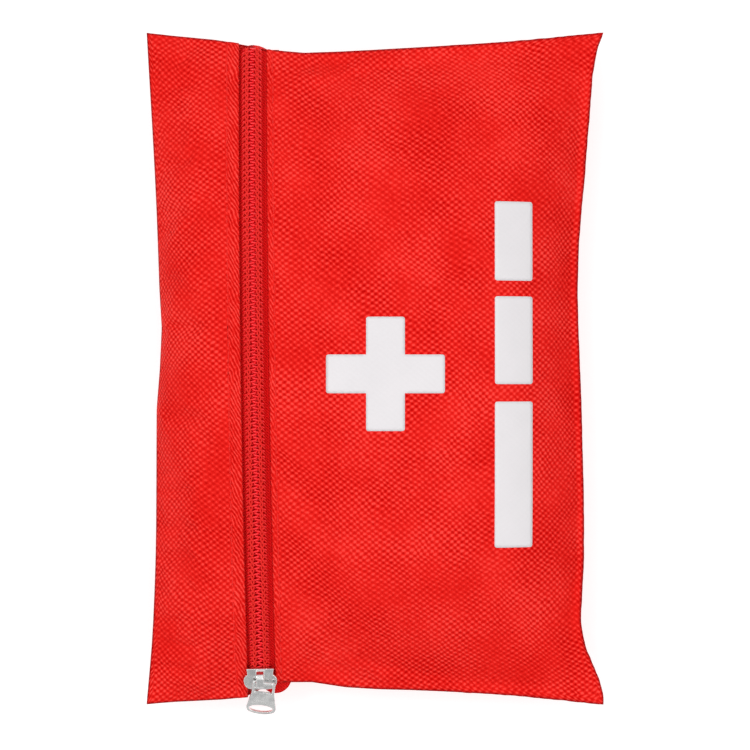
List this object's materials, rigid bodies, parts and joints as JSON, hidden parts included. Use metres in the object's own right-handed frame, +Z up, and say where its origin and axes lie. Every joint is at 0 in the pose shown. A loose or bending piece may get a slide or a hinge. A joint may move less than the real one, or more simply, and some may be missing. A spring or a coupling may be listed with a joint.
{
  "type": "first aid kit",
  "caption": "Soft zipped pillow pouch of red woven polyester with a white cross print, holding dressings, tape, scissors and tweezers; the zip slides, the mouth opens and the tools work.",
  "frame": {"origin": "middle of the flat the pouch rests on, under the middle of its seamed outline", "axes": "+Z up through the printed front, +Y along the zip from the closed slider to the open end, +X away from the zip"},
  "size_m": [0.136, 0.2029, 0.0386],
  "materials": {
    "red_fabric": "matte",
    "red_zip": "satin",
    "red_thread": "matte",
    "white_print": "matte",
    "nickel": "polished",
    "steel": "satin",
    "handle_plastic": "matte",
    "gauze": "matte",
    "crepe": "matte",
    "adhesive_tape": "matte",
    "spool_plastic": "satin",
    "white_paper": "matte",
    "blue_paper": "matte",
    "gold_foil": "polished"
  },
  "bodies": {
    "pouch": {"front_strip": "red_fabric", "back_panel": "red_fabric", "zip_tape_left": "red_zip", "zip_coil_left": "red_zip", "hem_stitch_left": "red_thread", "scissors_blade_fixed": "steel", "scissors_rivet": "steel", "tweezers_arm_fixed": "steel", "scissors_handle_fixed": "handle_plastic", "gauze_roll_1": "gauze", "gauze_roll_2": "gauze", "crepe_bandage_roll": "crepe", "adhesive_tape_roll": "adhesive_tape", "tape_spool": "spool_plastic", "triangular_bandage_pack": "white_paper", "sterile_pad_1": "white_paper", "sterile_pad_2": "white_paper", "sterile_pad_3": "white_paper", "plaster_1": "white_paper", "plaster_2": "white_paper", "plaster_3": "white_paper", "plaster_4": "white_paper", "alcohol_wipe_1": "blue_paper", "alcohol_wipe_2": "blue_paper", "alcohol_wipe_3": "blue_paper", "foil_blanket_pack": "gold_foil"},
    "front_flap": {"front_panel": "red_fabric", "zip_tape_right": "red_zip", "zip_coil_right": "red_zip", "hem_stitch_right": "red_thread", "cross_print": "white_print", "label_bar_1": "white_print", "label_bar_2": "white_print", "label_bar_3": "white_print"},
    "slider": {"slider_body": "nickel"},
    "pull_tab": {"pull_tab": "nickel"},
    "scissors_half": {"scissors_blade_moving": "steel", "scissors_handle_moving": "handle_plastic"},
    "tweezers_half": {"tweezers_arm_moving": "steel"}
  },
  "joints": [
    {"name": "zip_travel", "type": "hinge", "parent": "pouch", "child": "slider", "pos_m": [-0.0353, 0, -0.21651], "axis": [-0.9999, -0.014, 0], "range_deg": [0, 40], "deforming": ["zip_tape_left", "zip_coil_left"]},
    {"name": "mouth_open", "type": "hinge", "parent": "pouch", "child": "front_flap", "pos_m": [0.06, 0, 0.014], "axis": [0, 1, 0], "range_deg": [0, 21.2], "deforming": ["front_panel", "zip_tape_right", "zip_coil_right", "hem_stitch_right", "cross_print", "label_bar_1", "label_bar_2", "label_bar_3"]},
    {"name": "pull_tab_flip", "type": "hinge", "parent": "slider", "child": "pull_tab", "pos_m": [-0.03285, -0.09331, 0.01941], "axis": [-0.992, 0.1157, 0.0508], "range_deg": [0, 155]},
    {"name": "scissors_open", "type": "hinge", "parent": "pouch", "child": "scissors_half", "pos_m": [0, 0.006, 0.0246], "axis": [0, 0, 1], "range_deg": [0, 45]},
    {"name": "tweezers_squeeze", "type": "hinge", "parent": "pouch", "child": "tweezers_half", "pos_m": [-0.007, 0.044, 0.0294], "axis": [0, 0, -1], "range_deg": [0, 5], "stiffness_Nm_per_rad": 0.02}
  ],
  "couplings": [
    {"joint": "mouth_open", "follows": "zip_travel", "ratio": 0.53}
  ]
}
